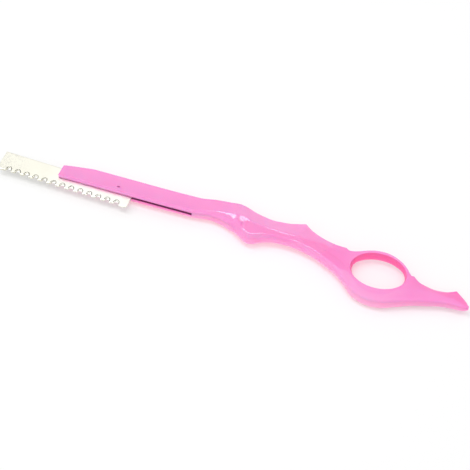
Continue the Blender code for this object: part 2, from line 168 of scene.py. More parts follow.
handle = {
    "barLength": 66.0 * millimetre,
    "barWidth": 8.95 * millimetre,
    "barThickness": 4.0 * millimetre,
    "barTilt": math.radians(2.3),
    "barFoot": 1.2 * millimetre,
    "noseLength": 14.0 * millimetre,
    "noseDrop": 2.1 * millimetre,
    "noseLowerCorner": 1.1 * millimetre,
    "noseUpperCorner": 0.7 * millimetre,
    "gripLength": 88.05 * millimetre,
    "knobDepth": 18.6 * millimetre,
    "knobThickness": 7.7 * millimetre,
    "ringAboveSlide": 2.6 * millimetre,
    "holeLength": 25.2 * millimetre,
    "holeWidth": 18.6 * millimetre,
    "ringWall": 1.5 * millimetre,
    "ringThickness": 5.2 * millimetre,
    "lobeDepth": 6.95 * millimetre,
    "tailLength": 42.05 * millimetre,
    "tailDepth": 8.0 * millimetre,
    "tailThickness": 4.4 * millimetre,
    "tipCorner": 0.45 * millimetre,
    "edgeInset": 0.4 * millimetre,
    "outlineSoftness": 0.22 * millimetre,
    "sectionSoftness": 0.55 * millimetre,
    "holeDraft": 0.75 * millimetre,
    "holeSteps": 8,
    "ridgeWidth": 0.8 * millimetre,
    "grooveWidth": 0.15 * millimetre,
    "crestWidth": 0.12 * millimetre,
    "ribDrop": 0.2 * millimetre,
    "ribWidth": 0.5 * millimetre,
    "shadingToneEdge": 0.45 * millimetre,
    "glossEdge": 0.15 * millimetre,
    # painted light: the pink grows paler towards the belly's edge and on the underside
    "paleLightRim": 1.2 * millimetre,
    "paleLightShare": 0.2,
    "paleLightUnderside": 0.5,
    "rimRadius": 0.35 * millimetre,
    "rimBevel": 0.4 * millimetre,
    "rimSlope": 0.25,
    "undersideRoundness": 0.3,
    "slotWidth": 1.3 * millimetre,
    "slotRoof": 7.4 * millimetre,
    "slotLeadIn": 0.15 * millimetre,
    "slotCornerShare": 0.25,
    "slotStop": 0.7 * millimetre,
    "windowLength": 1.5 * millimetre,
    "windowWidth": 0.65 * millimetre,
    "windowPlace": 28.8 * millimetre,
    "windowAboveSlide": 5.3 * millimetre,
    "windowSteps": 40,
    "sharpAngle": 32,
}
ringX = handle["barLength"] + handle["gripLength"]
tipX = ringX + handle["tailLength"]
holeA, holeB = handle["holeLength"] / 2, handle["holeWidth"] / 2
restHeight = origin.z - cadBox[0].z

# Spine edge of the grip: shares of its length, and of the knob's depth above the grip's middle line.
# A row that ends in 1 is a corner.
gripSpineShares = (
    (0.082, 0.355, 0), (0.165, 0.445, 0), (0.212, 0.498, 0), (0.236, 0.494, 0), (0.262, 0.468, 0),
    (0.309, 0.420, 0), (0.357, 0.398, 0), (0.402, 0.393, 0), (0.445, 0.431, 0), (0.485, 0.469, 0),
    (0.523, 0.540, 0), (0.564, 0.620, 1), (0.582, 0.562, 0), (0.607, 0.496, 0), (0.666, 0.402, 0),
    (0.713, 0.356, 0), (0.760, 0.335, 0), (0.805, 0.342, 1),
)
gripBellyShares = (
    (0.045, -0.190, 0), (0.089, -0.143, 0), (0.136, -0.148, 0), (0.182, -0.186, 0), (0.236, -0.278, 0),
    (0.284, -0.395, 0), (0.317, -0.450, 0), (0.346, -0.404, 0), (0.392, -0.264, 0), (0.443, -0.170, 0),
    (0.494, -0.128, 0), (0.534, -0.110, 0), (0.591, -0.124, 0), (0.647, -0.157, 0), (0.720, -0.262, 0),
    (0.795, -0.402, 0), (0.852, -0.570, 0),
)
# Shares of the ring's outer half length and half width: shoulder, arc and the arc's foot at the tail
ringArcShares = (
    (-1.090, 0.604, 0), (-0.951, 0.626, 0), (-0.745, 0.726, 0), (-0.520, 0.855, 0), (-0.260, 0.966, 0),
    (0.000, 1.000, 0), (0.260, 0.948, 0), (0.520, 0.815, 0), (0.700, 0.675, 0), (0.840, 0.515, 0),
    (0.940, 0.372, 0),
)
# Shares of the hole's half length, and of the depth from the ring's middle to the lobe's foot
lobeShares = ((-0.64, -0.851, 0), (-0.32, -0.956, 0), (0.06, -1.0, 0), (0.43, -0.961, 0), (0.92, -0.790, 0))
# Shares of the tail's length and depth
tailSpineShares = (
    (0.337, 0.405, 1), (0.366, 0.435, 1), (0.400, 0.310, 0), (0.458, 0.160, 0), (0.512, 0.120, 0),
    (0.605, 0.068, 0), (0.725, 0.147, 0), (0.829, 0.405, 1), (0.879, 0.210, 0), (0.933, 0.000, 0),
    (0.985, -0.235, 0), (1.000, -0.302, 0),
)
tailBellyShares = (
    (0.427, -1.240, 0), (0.584, -0.945, 0), (0.736, -0.690, 0), (0.902, -0.600, 0), (0.985, -0.545, 0),
    (1.000, -0.475, 0),
)
# Sections: the place along, then the height at belly edge, ridge, groove, crest and spine edge as shares of
# half the thickness, then the places of ridge, groove and crest as shares from belly to spine, and last the
# tone of the pink below the ridge, from there to the crest and above it, from -1 for pale to 1 for deep:
# painted shading, paler for painted light and deeper for painted shade
barPlaceShares = (0.02, 0.06, 0.10, 0.0, 0.0, 0.0)
gripSectionShares = (
    (0.040, 0.52, 0.52, 0.53, 0.55, 0.53, 0.05, 0.10, 0.135, 0.0, 0.0, 0.0),
    (0.084, 0.54, 0.54, 0.54, 0.575, 0.53, 0.08, 0.18, 0.22, 0.0, 0.0, 0.0),
    (0.124, 0.57, 0.58, 0.58, 0.63, 0.52, 0.10, 0.275, 0.335, 0.0, 0.0, 0.0),
    (0.156, 0.61, 0.62, 0.63, 0.71, 0.50, 0.10, 0.295, 0.375, 0.0, 0.0, 0.0),
    (0.188, 0.64, 0.67, 0.70, 0.83, 0.47, 0.10, 0.28, 0.405, 0.0, 0.0, 0.0),
    (0.209, 0.58, 0.72, 0.75, 0.95, 0.44, 0.10, 0.21, 0.41, 0.0, 0.0, 0.0),
    (0.231, 0.40, 0.80, 0.88, 0.98, 0.42, 0.14, 0.33, 0.48, -0.1, 0.15, -0.05),
    (0.262, 0.33, 0.74, 0.73, 0.97, 0.39, 0.18, 0.37, 0.56, -0.15, 0.35, -0.05),
    (0.287, 0.32, 0.81, 0.85, 0.913, 0.37, 0.17, 0.522, 0.575, -0.15, 0.35, -0.05),
    (0.332, 0.32, 0.82, 0.83, 0.871, 0.35, 0.14, 0.532, 0.57, -0.15, 0.35, -0.05),
    (0.370, 0.31, 0.79, 0.77, 0.812, 0.33, 0.18, 0.483, 0.523, -0.15, 0.35, -0.05),
    (0.414, 0.30, 0.75, 0.717, 0.765, 0.32, 0.15, 0.413, 0.457, -0.15, 0.35, -0.05),
    (0.467, 0.30, 0.72, 0.672, 0.72, 0.32, 0.10, 0.349, 0.392, -0.15, 0.35, -0.05),
    (0.520, 0.30, 0.70, 0.643, 0.689, 0.33, 0.08, 0.315, 0.356, -0.15, 0.35, -0.05),
    (0.572, 0.31, 0.69, 0.618, 0.655, 0.34, 0.10, 0.333, 0.377, -0.15, 0.45, -0.05),
    (0.635, 0.32, 0.67, 0.57, 0.60, 0.36, 0.14, 0.40, 0.54, -0.15, 0.6, 0.0),
    (0.715, 0.35, 0.64, 0.51, 0.55, 0.42, 0.16, 0.52, 0.76, -0.15, 0.6, 0.05),
    (0.800, 0.38, 0.60, 0.48, 0.53, 0.49, 0.14, 0.46, 0.66, -0.15, 0.4, 0.2),
)
# How far the surface drops behind the crest: shares of the grip's length and of the rib's drop
ribShares = (
    (0.02, 0.0), (0.10, 0.6), (0.16, 1.0), (0.215, 1.0),
    (0.231, 0.6), (0.25, 1.0), (0.50, 1.0), (0.62, 0.0),
)
# Where the surface is matt: shares of the grip's length, and how far the matt part goes from belly to spine
mattShares = (
    (0.0, 0.12), (0.19, 0.14), (0.22, 0.28), (0.27, 0.28), (0.284, 0.08), (0.375, 0.08), (0.40, 0.25),
    (0.414, 0.24), (0.467, 0.20), (0.52, 0.17), (0.545, 0.05), (0.69, 0.05), (0.75, 1.1), (1.0, 1.1),
)
ringSectionShares = (
    (-1.02, 0.72, 0.88, 0.84, 0.85, 0.84, 0.30, 0.40, 0.50, -0.15, 0.4, 0.1),
    (-0.50, 0.93, 1.03, 1.02, 1.00, 1.00, 0.16, 0.30, 0.86, -0.25, -0.1, -0.1),
    (0.0, 0.95, 1.04, 1.02, 1.00, 1.00, 0.12, 0.26, 0.92, -0.25, -0.1, -0.1),
    (0.50, 0.93, 1.03, 1.02, 1.00, 1.00, 0.16, 0.33, 0.86, -0.2, -0.05, -0.1),
    (1.02, 0.86, 0.98, 0.94, 0.92, 0.84, 0.40, 0.60, 0.70, -0.05, 0.15, 0.2),
)
tailSectionShares = (
    (0.450, 0.88, 1.00, 0.86, 0.76, 0.60, 0.57, 0.68, 0.82, 0.0, 0.25, 0.35),
    (0.562, 0.88, 0.98, 0.78, 0.66, 0.50, 0.72, 0.81, 0.90, 0.0, 0.5, 0.6),
    (0.690, 0.86, 0.94, 0.75, 0.61, 0.45, 0.60, 0.74, 0.86, 0.0, 0.75, 0.8),
    (0.790, 0.82, 0.90, 0.72, 0.56, 0.42, 0.39, 0.60, 0.80, 0.0, 0.85, 0.85),
    (0.900, 0.72, 0.80, 0.66, 0.54, 0.42, 0.32, 0.55, 0.77, 0.05, 0.8, 0.8),
    (1.000, 0.50, 0.55, 0.52, 0.48, 0.45, 0.22, 0.50, 0.70, 0.2, 0.4, 0.4),
)
# How round the long edges are: place as a share of the handle's length, then belly and spine radius
edgeRadiusShares = {
    "places": (0.0, 0.33, 0.37, 0.42, 0.48, 0.60, 0.72, 0.80, 0.86, 1.0),
    "belly": (0.30, 0.30, 0.80, 1.00, 0.60, 0.60, 1.00, 1.30, 1.10, 0.60),
    "spine": (0.30, 0.30, 0.45, 0.45, 0.45, 0.45, 0.45, 0.45, 0.45, 0.40),
}


def barFoot(x):
    return handle["barFoot"] + x * math.tan(handle["barTilt"])


def outlinePoints():
    # The spine's and the belly's points in metres, from the shares above.
    bar, wide = handle["barLength"], handle["barWidth"]
    lineStart = barFoot(bar) + wide / 2
    middle = handle["ringAboveSlide"]

    def grip(along, above, corner):
        line = lineStart + along * (middle - lineStart)
        return (bar + along * handle["gripLength"], line + above * handle["knobDepth"], corner)

    def around(reach, height):
        return lambda along, above, corner: (ringX + along * reach, middle + above * height, corner)

    outerA, outerB = holeA + handle["ringWall"], holeB + handle["ringWall"]
    tail = around(handle["tailLength"], handle["tailDepth"])
    spine = [(handle["noseLength"], barFoot(handle["noseLength"]) + wide, 1), (bar, barFoot(bar) + wide, 0)]
    spine += [grip(*row) for row in gripSpineShares]
    spine += [around(outerA, outerB)(*row) for row in ringArcShares]
    spine += [tail(*row) for row in tailSpineShares]
    belly = [(0, handle["barFoot"], 0), (bar, barFoot(bar), 0)]
    belly += [grip(*row) for row in gripBellyShares]
    belly += [around(holeA, holeB + handle["lobeDepth"])(*row) for row in lobeShares]
    belly += [tail(*row) for row in tailBellyShares]
    return spine, belly


spinePoints, bellyPoints = outlinePoints()


def spineLine(x):
    length = handle["noseLength"]
    nose = barFoot(x) + handle["barWidth"] - handle["noseDrop"] * np.clip(1 - x / length, 0, 1)
    return np.where(x < length, nose, joinedCurve(spinePoints, np.maximum(x, length)))


def spineEdge(x):
    return softened(spineLine, x, handle["outlineSoftness"])


def bellyEdge(x):
    return softened(lambda p: joinedCurve(bellyPoints, p), x, handle["outlineSoftness"])


def sectionRows():
    flat = [handle["barThickness"] / 2] * 5
    rows = [(x, *flat, *barPlaceShares) for x in (0, handle["barLength"])]
    parts = (
        (gripSectionShares, handle["barLength"], handle["gripLength"], handle["knobThickness"]),
        (ringSectionShares, ringX, holeA, handle["ringThickness"]),
        (tailSectionShares, ringX, handle["tailLength"], handle["tailThickness"]),
    )
    for shares, start, length, thickness in parts:
        for row in shares:
            heights = [share * thickness / 2 for share in row[1:6]]
            rows.append((start + row[0] * length, *heights, *row[6:]))
    return rows


sectionTable = sectionRows()


def sectionValues(x):
    # The values of the section at each x, softened a little along the handle.
    def column(k):
        return lambda p: joinedCurve([(row[0], row[k], 0) for row in sectionTable], p)

    return [softened(column(k), x, handle["sectionSoftness"]) for k in range(1, len(sectionTable[0]))]


def facetHeight(x, y):
    # Half the thickness before its edges are rounded: straight facets from belly to spine through ridge,
    # groove and crest, each joined to the next by a soft bend. With it, the painted shading tone and the
    # gloss.
    belly, spine = bellyEdge(x), spineEdge(x)
    depth = spine - belly
    inset = np.minimum(handle["edgeInset"], depth / 4)
    share = np.clip((y - belly - inset) / (depth - 2 * inset), 0, 1)
    foot, ridge, groove, crest, head, ridgeAt, grooveAt, crestAt, lower, middle, upper = sectionValues(x)
    along = (x - handle["barLength"]) / handle["gripLength"]
    drop = np.interp(along, *zip(*ribShares)) * handle["ribDrop"]
    behind = np.minimum(handle["ribWidth"] / depth, (1 - crestAt) / 2)
    slopes = [
        (ridge - foot) / ridgeAt,
        (groove - ridge) / (grooveAt - ridgeAt),
        (crest - groove) / (crestAt - grooveAt),
        -drop / behind,
        (head - crest + drop) / (1 - crestAt - behind),
    ]
    slopes[3] = np.where(drop > 0, np.minimum(slopes[3], slopes[4]), slopes[4])
    height = foot + slopes[0] * share
    bends = (
        (ridgeAt, "ridgeWidth"),
        (grooveAt, "grooveWidth"),
        (crestAt, "crestWidth"),
        (crestAt + behind, "crestWidth"),
    )
    for k, (place, width) in enumerate(bends):
        soft = np.minimum(handle[width], 0.25 * depth) / depth
        height = height + (slopes[k + 1] - slopes[k]) * softRamp(share - place, soft)
    edge = handle["shadingToneEdge"] / depth
    shadingTone = lower + (middle - lower) * softStep(share - ridgeAt, edge)
    shadingTone = shadingTone + (upper - middle) * softStep(share - crestAt, edge)
    # painted light: the pink is paler towards the belly's edge, as light comes through the thin plastic
    # there
    rim = handle["paleLightShare"] * np.clip(1 - (y - belly) / handle["paleLightRim"], 0, 1) ** 2
    matt = np.interp(along, *zip(*mattShares))
    return height, shadingTone - rim, softStep(share - matt, handle["glossEdge"] / depth)


def cornerArc(centre, radius, start, end, steps):
    angle = np.radians(np.linspace(start, end, steps))
    return np.stack([centre[0] + radius * np.cos(angle), centre[1] + radius * np.sin(angle)], -1)


def endOutline(x, corners, radii, outward):
    # The outline round one end of the handle: an upright face with a rounded corner below and above.
    (low, high), (lowRadius, highRadius) = corners, radii

    def arc(y, radius, start, end):
        turned = cornerArc((0, y), radius, start, end, gridSize["cornerSteps"])
        return turned * (outward, 1) + (x - outward * radius, 0)

    below = arc(low + lowRadius, lowRadius, -45, 0)
    above = arc(high - highRadius, highRadius, 0, 45)
    lower = arc(low + lowRadius, lowRadius, -90, -45)
    upper = arc(high - highRadius, highRadius, 90, 45)
    return lower, upper, np.concatenate([below, above])


def spread(line, count, squeeze):
    # A polyline's points laid out again by distance along it, closer together at both ends.
    steps = np.linalg.norm(np.diff(line, axis=0), axis=1)
    along = np.concatenate(([0], np.cumsum(steps)))
    t = np.linspace(0, 1, count)
    t = t - squeeze * np.sin(2 * math.pi * t) / (2 * math.pi)
    return np.stack([np.interp(t * along[-1], along, line[:, k]) for k in (0, 1)], -1)


# How the top sheet is divided
gridSize = {
    "edgeSteps": 6,
    "cornerSteps": 8,
    "innerRows": 72,
    "columnLimit": 0.3,         # the most of a column, or of a ray of the ring, that one rounded edge takes
    "rayLimit": 0.35,
    "endColumns": 14,
    "endReach": 3.2 * millimetre,
    "endSqueeze": 0.3,
    "faceSqueeze": 0.2,
    "barStep": 1.6 * millimetre,
    "barMargin": 2.0 * millimetre,
    "gripStep": 0.4 * millimetre,
    "ringMargin": 1.8 * millimetre,
    "ringColumns": 150,
    "radialRows": 18,
    "loopColumns": 1500,
    "pointsAtOnce": 2000,
    "sameWithin": 0.001 * millimetre,
    "weldWithin": 0.002 * millimetre,
}


def edgeRadius(x):
    places = np.array(edgeRadiusShares["places"]) * tipX
    belly = np.interp(x, places, edgeRadiusShares["belly"]) * millimetre
    spine = np.interp(x, places, edgeRadiusShares["spine"]) * millimetre
    return belly, spine


def rowPlaces(depth, startInset, endInset, count):
    # How far along a column or a ray its rows lie: close together in the rounded edges, and even between.
    turn = (1 - np.cos(np.linspace(0, math.pi / 2, gridSize["edgeSteps"] + 1)))[None, :]
    low = turn * startInset[:, None]
    high = depth[:, None] - turn[:, ::-1] * endInset[:, None]
    t = np.linspace(0, 1, count + 2)[None, 1:-1]
    inner = low[:, -1:] * (1 - t) + high[:, :1] * t
    return np.concatenate([low, inner, high], 1)


def bothEdges(x):
    return np.stack([x, bellyEdge(x)], -1), np.stack([x, spineEdge(x)], -1)


def columnGrid(x):
    # Straight columns from the belly to the spine at each x, as an array of (column, row, xy).
    belly, spine = bellyEdge(x), spineEdge(x)
    bellySlope, spineSlope = np.gradient(belly, x), np.gradient(spine, x)
    radii = edgeRadius(x)
    limit = gridSize["columnLimit"] * (spine - belly)
    insets = [np.minimum(r * np.sqrt(1 + s ** 2), limit) for r, s in zip(radii, (bellySlope, spineSlope))]
    y = belly[:, None] + rowPlaces(spine - belly, *insets, gridSize["innerRows"])
    return np.stack([np.broadcast_to(x[:, None], y.shape), y], -1)


def endGrid(x, joined, corners, radii, outward):
    # The end of the handle as a patch between four sides: belly, spine, end face and last straight column.
    lower, upper, face = endOutline(x, corners, radii, outward)
    columns = gridSize["endColumns"] + 1
    squeeze = gridSize["endSqueeze"]
    belly = spread(np.concatenate([joined[:1], lower]), columns, squeeze)
    spine = spread(np.concatenate([joined[-1:], upper]), columns, squeeze)
    end = spread(face, len(joined), gridSize["faceSqueeze"])
    s = np.linspace(0, 1, columns)[:, None, None]
    t = (np.linalg.norm(joined - joined[0], axis=1) / np.linalg.norm(joined[-1] - joined[0]))[None, :, None]
    sides = (1 - s) * joined[None] + s * end[None] + (1 - t) * belly[:, None] + t * spine[:, None]
    ends = (1 - t) * ((1 - s) * joined[0] + s * end[0]) + t * ((1 - s) * joined[-1] + s * end[-1])
    return sides - ends


def ringGrid(left, right):
    # Rays from the hole's rim out to the outline, or to the last column on each side, as (ray, row, xy).
    belly, spine = bothEdges(np.linspace(left[0, 0], right[0, 0], gridSize["ringColumns"])[1:-1])
    outer = np.concatenate([left[::-1], belly, right, spine[::-1], left[-1:]])
    turned = (outer - (ringX, handle["ringAboveSlide"])) / (holeA, holeB)
    angle = np.arctan2(turned[:, 1], turned[:, 0])
    inner = np.stack([ringX + holeA * np.cos(angle), handle["ringAboveSlide"] + holeB * np.sin(angle)], -1)
    length = np.linalg.norm(outer - inner, axis=1)
    limit = gridSize["rayLimit"] * length
    rim = np.minimum(handle["rimRadius"], limit)
    bellyRadius, spineRadius = edgeRadius(outer[:, 0])
    below = outer[:, 1] < handle["ringAboveSlide"]
    edge = np.minimum(np.where(below, bellyRadius, spineRadius), limit)
    reach = rowPlaces(length, rim, edge, gridSize["radialRows"]) / length[:, None]
    return inner[:, None] + reach[:, :, None] * (outer - inner)[:, None]


def outlineLoop(front, left, right, back):
    # The whole outline as one closed line, dense enough to measure distances from.
    belly, spine = bothEdges(np.linspace(left[0, 0], right[0, 0], gridSize["loopColumns"]))
    tip = [back[:, 0], back[-1], back[::-1, -1]]
    nose = [front[:, -1], front[-1, ::-1], front[::-1, 0]]
    return np.concatenate([belly] + tip + [spine[::-1]] + nose)


def distanceTo(loop, points):
    # The distance from each point to the nearest stretch of a polyline.
    start, step = loop[:-1], np.diff(loop, axis=0)
    squared = np.maximum((step ** 2).sum(1), 1e-18)
    nearest = []
    for i in range(0, len(points), gridSize["pointsAtOnce"]):
        away = points[i:i + gridSize["pointsAtOnce"], None] - start[None]
        along = np.clip((away * step).sum(-1) / squared, 0, 1)
        gap = away - along[..., None] * step
        nearest.append(np.sqrt((gap ** 2).sum(-1).min(1)))
    return np.concatenate(nearest)


def quarterRound(radius, away):
    # How far a rounded edge lies below the face, at a distance from the edge.
    return radius - np.sqrt(np.maximum(radius ** 2 - np.clip(radius - away, 0, radius) ** 2, 0))


def topSurface(points, loop, rimSlope, roundness):
    # The facets' height, with a quarter round where a point is nearer than the edge's radius to the outline
    # or to the finger hole, and the painted shading tone and the gloss of the pink.
    x, y = points[:, 0], points[:, 1]
    height, shadingTone, gloss = facetHeight(x, y)
    low, high = bellyEdge(x), spineEdge(x)
    belly, spine = edgeRadius(x)
    radius = roundness * np.where(y < (low + high) / 2, belly, spine)
    end = gridSize["endReach"]
    near = (np.minimum(y - low, high - y) < 3 * radius) | (x < end) | (x > tipX - end)
    away = radius.copy()
    away[near] = distanceTo(loop, points[near])
    height = height - quarterRound(radius, away)
    across, up = (x - ringX) / holeA, (y - handle["ringAboveSlide"]) / holeB
    reach = np.sqrt(across ** 2 + up ** 2)
    steep = np.sqrt((across / holeA) ** 2 + (up / holeB) ** 2) / reach
    rimGap = np.clip((reach - 1) / steep, 0, None)
    height = height - rimSlope * np.maximum(handle["rimBevel"] - rimGap, 0)
    return height - quarterRound(handle["rimRadius"], rimGap), shadingTone, gloss


def openEdges(quads):
    # The edges that only one quad has: those of the outline and of the finger hole.
    edges = np.concatenate([quads[:, [0, 1]], quads[:, [1, 2]], quads[:, [2, 3]], quads[:, [3, 0]]])
    _, first, seen = np.unique(np.sort(edges, axis=1), axis=0, return_index=True, return_counts=True)
    return edges[first[seen == 1]]


def holeRows(rim, top, bottom):
    # The wall of the finger hole, row by row from the top rim to the bottom rim: it swells towards
    # the hole's middle as half a sine wave, as the two halves of a mould leave it.
    t = np.linspace(0, 1, handle["holeSteps"] + 1)[1:-1, None]
    centre = np.array([ringX, handle["ringAboveSlide"]])
    inward = (centre - rim) / np.linalg.norm(centre - rim, axis=1)[:, None]
    place = rim[None] + inward[None] * (handle["holeDraft"] * np.sin(math.pi * t))[..., None]
    height = top[None] * (1 - t) + bottom[None] * t
    return np.concatenate([place, height[..., None]], -1)


def makeHandle():
    reach = gridSize["endReach"]
    leftX = ringX - holeA - gridSize["ringMargin"]
    rightX = ringX + holeA + gridSize["ringMargin"]
    step = gridSize["gripStep"]
    bar = np.arange(reach, handle["barLength"] - gridSize["barMargin"], gridSize["barStep"])
    grip = np.arange(bar[-1] + step, leftX - step / 2, step)
    left = columnGrid(np.concatenate([bar, grip, [leftX]]))
    right = columnGrid(np.arange(rightX, tipX - reach / 2, step))
    noseCorners = (barFoot(0), spineEdge(np.array([0.0]))[0])
    tipCorners = (bellyEdge(np.array([tipX]))[0], spineEdge(np.array([tipX]))[0])
    noseRadii = (handle["noseLowerCorner"], handle["noseUpperCorner"])
    front = endGrid(0.0, left[0], noseCorners, noseRadii, -1)
    back = endGrid(tipX, right[-1], tipCorners, (handle["tipCorner"],) * 2, 1)
    ring = ringGrid(left[-1], right[0])
    loop = outlineLoop(front, left[0], right[-1], back)

    sheets = (front[::-1], left, ring, right, back)
    points, quads, count = [], [], 0
    for sheet in sheets:
        columns, rows = sheet.shape[:2]
        quads.append(gridFaces(columns, rows, count))
        points.append(sheet.reshape(-1, 2))
        count += columns * rows
    points, quads = np.concatenate(points), np.concatenate(quads)
    # points that two sheets share become one
    rounded = np.round(points / gridSize["sameWithin"])
    _, first, shared = np.unique(rounded, axis=0, return_index=True, return_inverse=True)
    points, quads = points[first], shared.ravel()[quads]
    count = len(points)
    top, shadingTone, gloss = topSurface(points, loop, handle["rimSlope"], 1)
    bottom = -np.minimum(topSurface(points, loop, 0, handle["undersideRoundness"])[0], restHeight)
    shape = np.concatenate([np.column_stack([points, top]), np.column_stack([points, bottom])])
    faces = [quads, quads[:, ::-1] + count]
    # an edge is in the finger hole where both its ends lie on the hole's ellipse
    edges = openEdges(quads)
    onEllipse = ((points - (ringX, handle["ringAboveSlide"])) / (holeA, holeB)) ** 2
    inHole = onEllipse.sum(1)[edges].max(1) < 1.01
    outer = edges[~inHole]
    faces.append(np.stack([outer[:, 1], outer[:, 0], outer[:, 0] + count, outer[:, 1] + count], -1))
    # the hole's points are numbered in the order of its edges' starts, and each edge leads to the next one
    hole = edges[inHole]
    starts = hole[:, 0]
    rows = holeRows(points[starts], top[starts], bottom[starts])
    place = np.empty(count, int)
    place[starts] = np.arange(len(starts))
    rungs = [2 * count + k * len(starts) + place[starts] for k in range(len(rows))]
    ladder = [starts] + rungs + [starts + count]
    after = place[hole[:, 1]]
    for above, below in zip(ladder[:-1], ladder[1:]):
        faces.append(np.stack([above[after], above, below, below[after]], -1))
    shape = np.concatenate([shape, rows.reshape(-1, 3)])
    piece = meshPiece("pinkHandle", shape, np.concatenate(faces).tolist())
    # painted light: the underside takes a paler tone, so the side walls grow paler downwards
    shadingTones = np.concatenate([shadingTone, shadingTone - handle["paleLightUnderside"], np.tile(shadingTone[starts], len(rows))])
    piece.data.attributes.new("shadingTone", "FLOAT", "POINT").data.foreach_set("value", shadingTones)
    glosses = np.concatenate([gloss, gloss, np.zeros(rows.size // 3)])
    piece.data.attributes.new("gloss", "FLOAT", "POINT").data.foreach_set("value", glosses)
    welded(piece, gridSize["weldWithin"])
    cutSlot(piece)
    cutWindow(piece)
    smoothShaded(piece, handle["sharpAngle"])
    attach(piece, "handle")
    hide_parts("handle")
    print("handle:", len(piece.data.polygons), "faces")
    return piece


def carried(name, sections):
    # A closed bar through a few sections of equal count, given as (x, y, z) points.
    count = len(sections[0])
    points = np.concatenate(sections)
    faces = []
    for i in range(len(sections) - 1):
        a = np.arange(count) + i * count
        b = np.roll(np.arange(count), -1) + i * count
        faces += np.stack([a, b, b + count, a + count], -1).tolist()
    faces += [list(range(count)), list(range(len(points) - count, len(points)))]
    piece = meshPiece(name, points, faces)
    welded(piece, 0.0)
    return piece


def takenOut(piece, cutter):
    boolean = piece.modifiers.new("cut", "BOOLEAN")
    boolean.operation = "DIFFERENCE"
    boolean.solver = "EXACT"
    boolean.object = cutter
    applied(piece)
    bpy.data.objects.remove(cutter)


def cutSlot(piece):
    # The slot's section, carried from the mouth to the slot's end, with a small lead-in at foot and mouth.
    half, roof, lead = handle["slotWidth"] / 2, handle["slotRoof"], handle["slotLeadIn"]
    corner = handle["slotCornerShare"] * half

    def section(x, extra):
        foot = barFoot(x)
        side = [
            (foot - 3 * lead, half + 4 * lead + extra),
            (foot + lead, half + extra),
            (roof - corner + extra, half + extra),
            (roof + extra, half - corner + extra),
        ]
        outline = side + [(y, -z) for y, z in side[::-1]]
        return np.array([(x, y, z) for y, z in outline])

    end = handle["barLength"] - handle["slotStop"]
    sections = [section(-4 * lead, 4 * lead), section(lead, 0), section(end, 0)]
    takenOut(piece, carried("slotCutter", sections))


def cutWindow(piece):
    # A small oblong hole from the front of the bar into the slot, widened a little at the face.
    turn = np.linspace(0, 2 * math.pi, handle["windowSteps"], endpoint=False)
    flat = handle["windowWidth"] / 2
    straight = (handle["windowLength"] - handle["windowWidth"]) / 2

    def section(z, grow):
        x = handle["windowPlace"] + np.sign(np.cos(turn)) * straight + (flat + grow) * np.cos(turn)
        y = handle["windowAboveSlide"] + (flat + grow) * np.sin(turn)
        return np.stack([x, y, np.full_like(x, z)], -1)

    face = handle["barThickness"] / 2
    lead = handle["slotLeadIn"]
    sections = [section(0, 0), section(face - lead, 0), section(face + lead, 2 * lead)]
    takenOut(piece, carried("windowCutter", sections))


def toothedEdge():
    # The lower edge of one leaf from its outer end to its inner end: a row of notches that end in arcs,
    # with flat teeth between them, and a rounded corner at each end of the strip.
    size = guardSize
    start = guardLow.x - origin.x
    tips = guardLow.y - origin.y
    length = guardHigh.x - guardLow.x
    radius = size["notchWidth"] / 2
    top = tips + size["notchDepth"] - radius
    steps = size["cornerSteps"]
    cut = size["outerCorner"]
    outer = cornerArc((start + cut, tips + cut), cut, 180, 270, steps)
    cut = size["innerCorner"]
    inner = cornerArc((start + length - cut, tips + cut), cut, 270, 360, steps)
    # the legs of a notch run straight from its mouth, and touch its arc this many degrees above its middle
    foot = tips + size["toothCut"]
    mouth, rise = size["notchMouth"] / 2, top - foot
    lean = math.degrees(math.acos(radius / math.hypot(mouth, rise)) - math.atan2(rise, mouth))
    notch = cornerArc((0, top), radius, 180 - lean, lean, size["notchSteps"])
    notch = np.concatenate([[(-mouth, foot)], notch, [(mouth, foot)]])
    places = start + size["firstNotch"] + size["notchPitch"] * np.arange(size["notchCount"])
    notches = (notch[None] + np.stack([places, 0 * places], -1)[:, None]).reshape(-1, 2)
    cut = size["lastTooth"]
    last = cornerArc((notches[-1, 0] + cut, tips + cut), cut, 195, 270, steps)
    return np.concatenate([outer, notches[:-1], last, inner])


def notchShadeBands(piece):
    # A narrow band round the notches, on the outer face of each leaf; in the teeth it takes the dark cut
    # steel, as painted shade along each notch's edge.
    size = guardSize
    shape = bmesh.new()
    shape.from_mesh(piece.data)
    leaves = sorted(shape.faces, key=lambda face: -face.calc_area())[:4]
    outside = max(abs(face.calc_center_median().z - origin.z) for face in leaves)
    leaves = [face for face in leaves if abs(face.calc_center_median().z - origin.z) > 0.9 * outside]
    bands = bmesh.ops.inset_region(shape, faces=leaves, thickness=size["notchShadeBand"], use_even_offset=True)
    lastPlace = guardLow.x + size["firstNotch"] + size["notchPitch"] * (size["notchCount"] - 1)
    lastEdge = lastPlace + size["notchMouth"] / 2 + size["notchShadeBand"]
    floorOfTeeth = guardLow.y + 0.3 * size["notchDepth"]
    roofOfTeeth = guardLow.y + 1.3 * size["notchDepth"]
    for face in bands["faces"]:
        middle = face.calc_center_median()
        face.material_index = 1 if floorOfTeeth < middle.y < roofOfTeeth and middle.x < lastEdge else 0
    shape.to_mesh(piece.data)
    shape.free()


